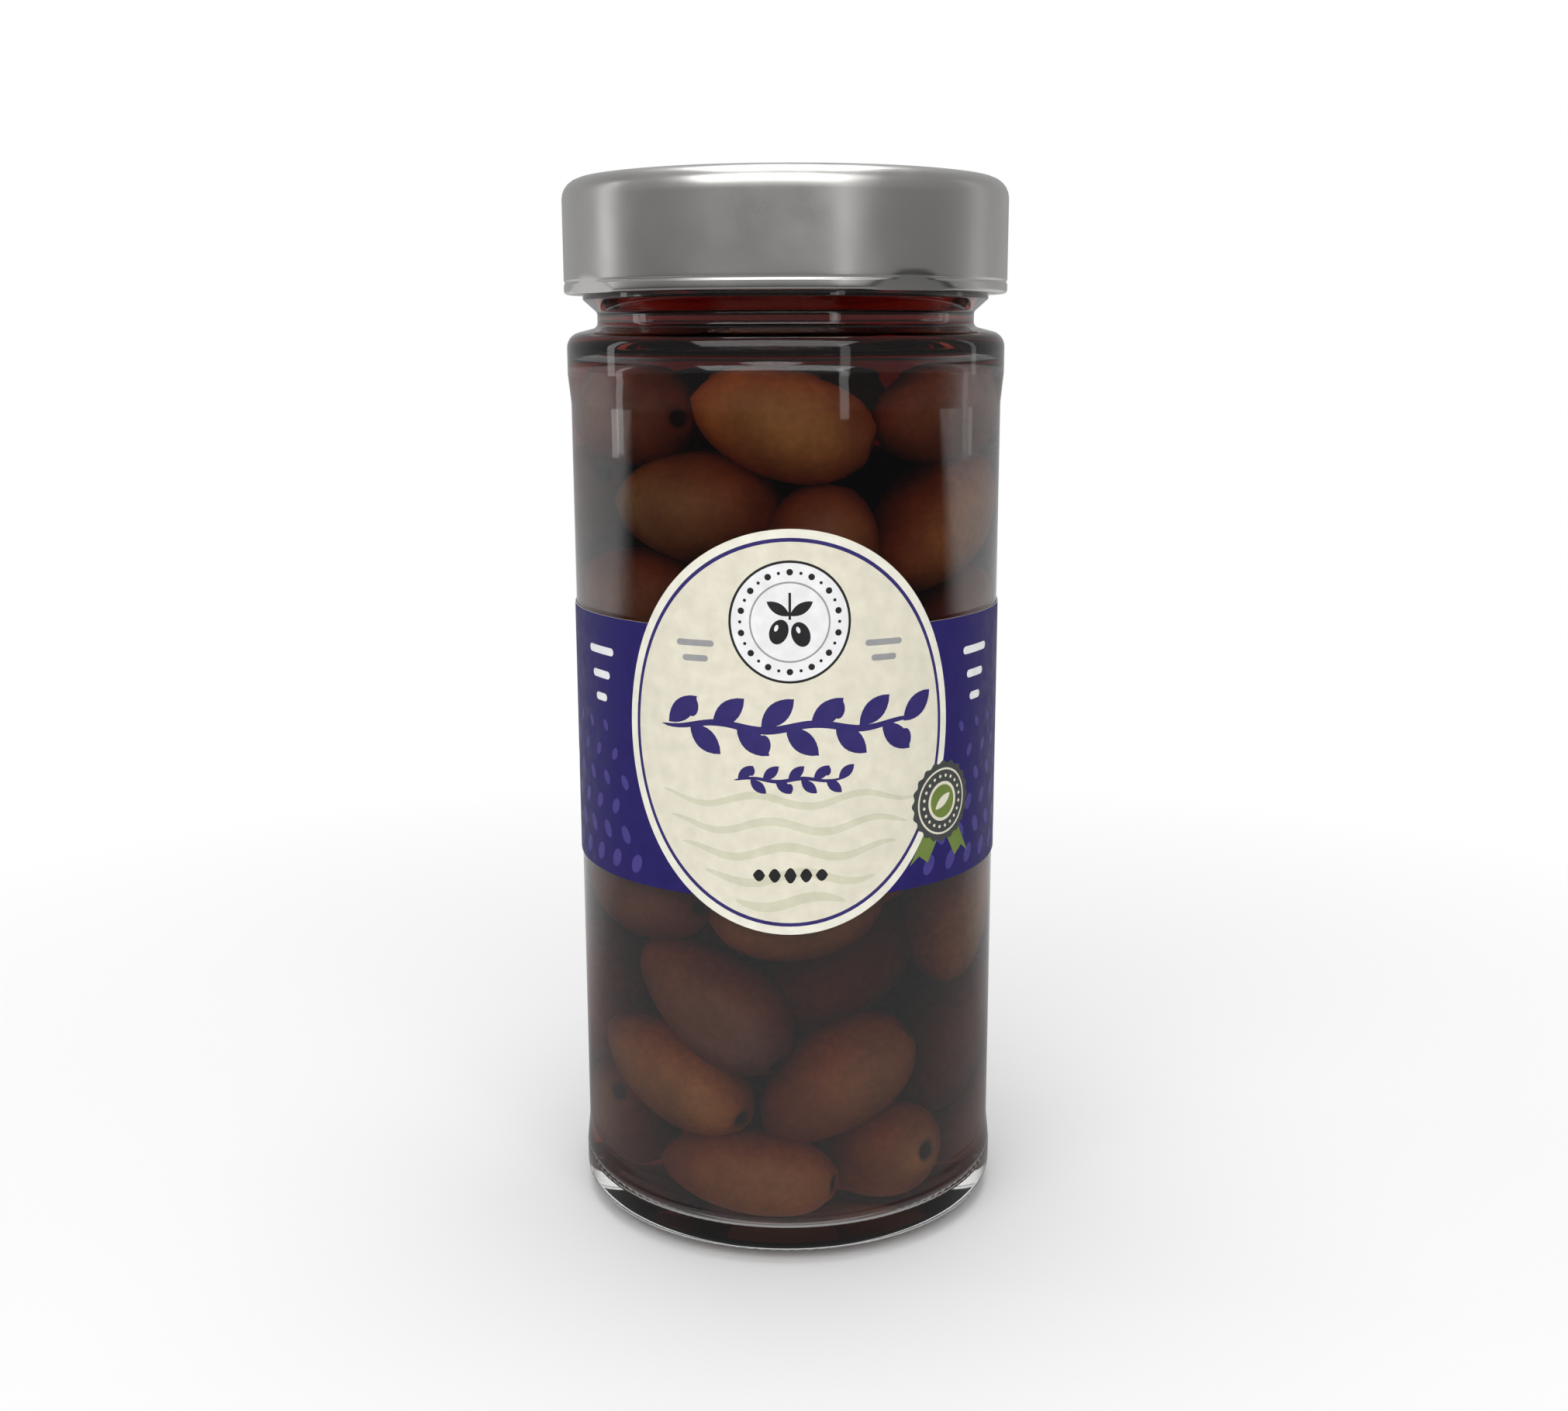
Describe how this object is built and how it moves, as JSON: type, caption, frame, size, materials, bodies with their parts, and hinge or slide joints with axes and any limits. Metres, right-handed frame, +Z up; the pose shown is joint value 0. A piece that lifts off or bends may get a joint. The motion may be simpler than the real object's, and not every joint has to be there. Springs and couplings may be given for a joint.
{
  "type": "jar of olives",
  "caption": "Round glass jar of whole olives in dark brine, with a four-lug tinplate twist-off cap and a die-cut paper label.",
  "frame": {"origin": "on the jar's axis, at the level of the ring it stands on", "axes": "+Z up the jar's axis; the front of the label faces -Y and +X is to its right"},
  "size_m": [0.0738, 0.0738, 0.1759],
  "materials": {
    "clear_glass": "smooth clear flint glass",
    "olives_in_brine": "brown and purple olives in dark red-brown brine",
    "tinplate": "satin silver lacquer on tinplate",
    "label_paper": "coated label paper, cream oval on a violet band"
  },
  "bodies": {
    "root": {"jar": "clear_glass", "contents": "olives_in_brine", "cap": "tinplate", "label": "label_paper"}
  },
  "joints": []
}
